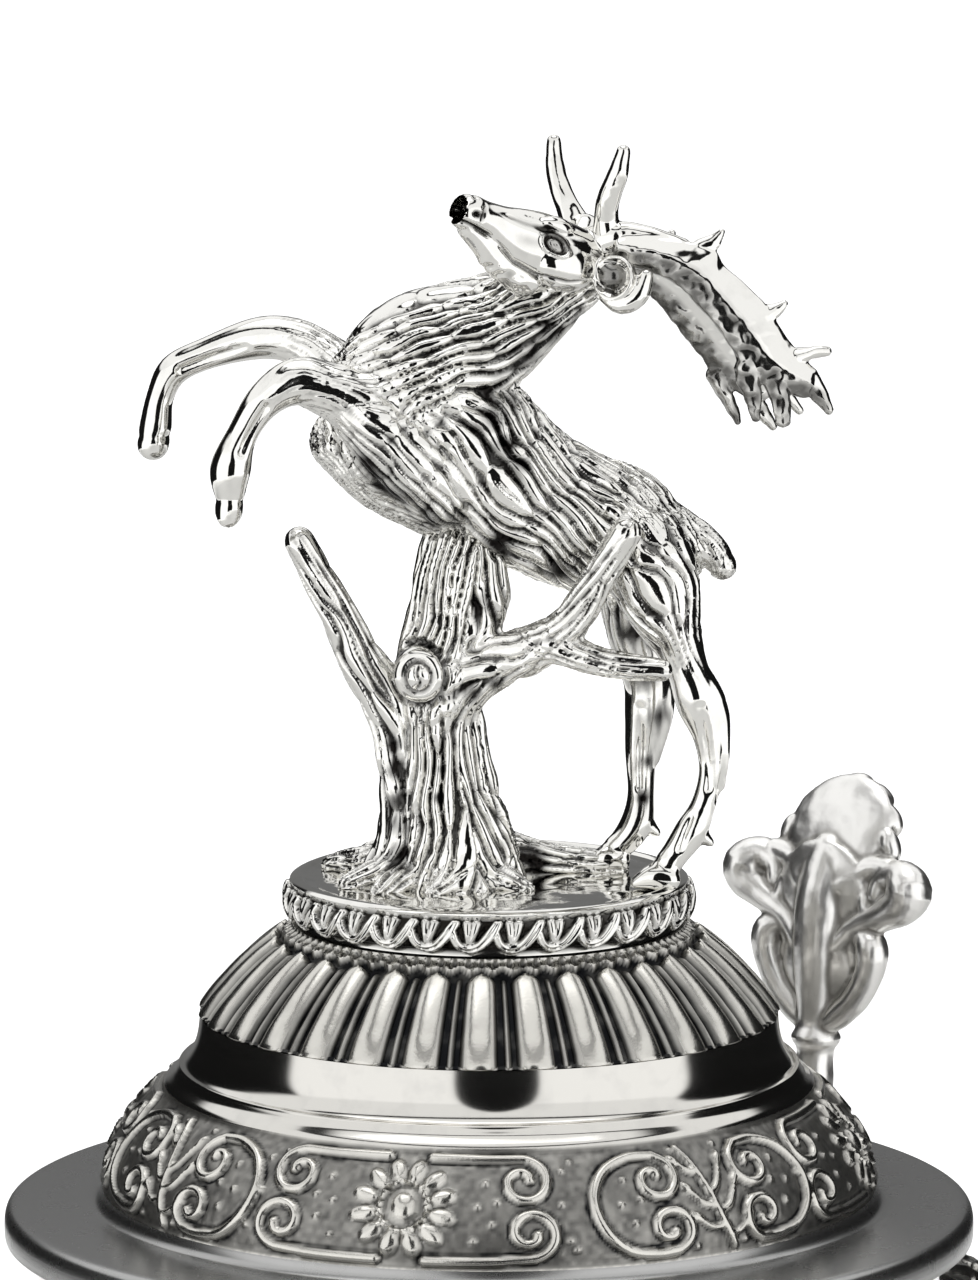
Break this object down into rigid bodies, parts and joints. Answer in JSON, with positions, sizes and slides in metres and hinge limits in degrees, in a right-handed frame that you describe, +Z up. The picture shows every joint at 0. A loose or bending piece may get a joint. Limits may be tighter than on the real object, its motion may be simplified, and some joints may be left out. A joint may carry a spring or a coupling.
{
  "type": "lidded tankard",
  "caption": "Tall cast and turned drinking tankard with a flared foot, a scrolled side handle, and a hinged domed lid carrying a thumb lift and a rearing stag on a tree stump.",
  "frame": {"origin": "centre of the foot's resting plane, on the vessel's turning axis", "axes": "+Z up along the vessel's turning axis, +X towards the handle and the lid's hinge, +Y to the left of someone looking from the vessel's axis towards the handle"},
  "size_m": [0.1632, 0.128, 0.2957],
  "materials": {
    "turned_pewter": "lathe-turned and polished pewter",
    "cast_pewter": "cast pewter relief, antiqued dark in the recesses and polished on the high points",
    "bright_casting": "brightly polished and plated casting",
    "steel_fixing": "plain drawn and machined steel"
  },
  "bodies": {
    "vessel": {"drum": "turned_pewter", "base_disc": "turned_pewter", "foot_ring": "cast_pewter", "lip_ring": "turned_pewter", "drum_frieze": "cast_pewter", "handle": "cast_pewter", "handle_upper_boss": "turned_pewter", "handle_lower_boss": "turned_pewter", "hinge_block": "cast_pewter", "hinge_pin": "steel_fixing", "hinge_pin_caps": "turned_pewter"},
    "lid": {"lid_base": "turned_pewter", "lid_dome": "cast_pewter", "lid_locating_ring": "turned_pewter", "lid_strap": "cast_pewter", "thumb_lift": "cast_pewter", "finial_plinth": "bright_casting", "tree_stump": "bright_casting", "stag_body": "bright_casting", "antler_near": "bright_casting", "antler_far": "bright_casting", "finial_stud": "steel_fixing", "finial_washer": "steel_fixing", "finial_nut": "steel_fixing"}
  },
  "joints": [
    {"name": "lid_hinge", "type": "hinge", "parent": "vessel", "child": "lid", "pos_m": [0.0595, 0, 0.172], "axis": [0, 1, 0], "range_deg": [0, 100]}
  ]
}
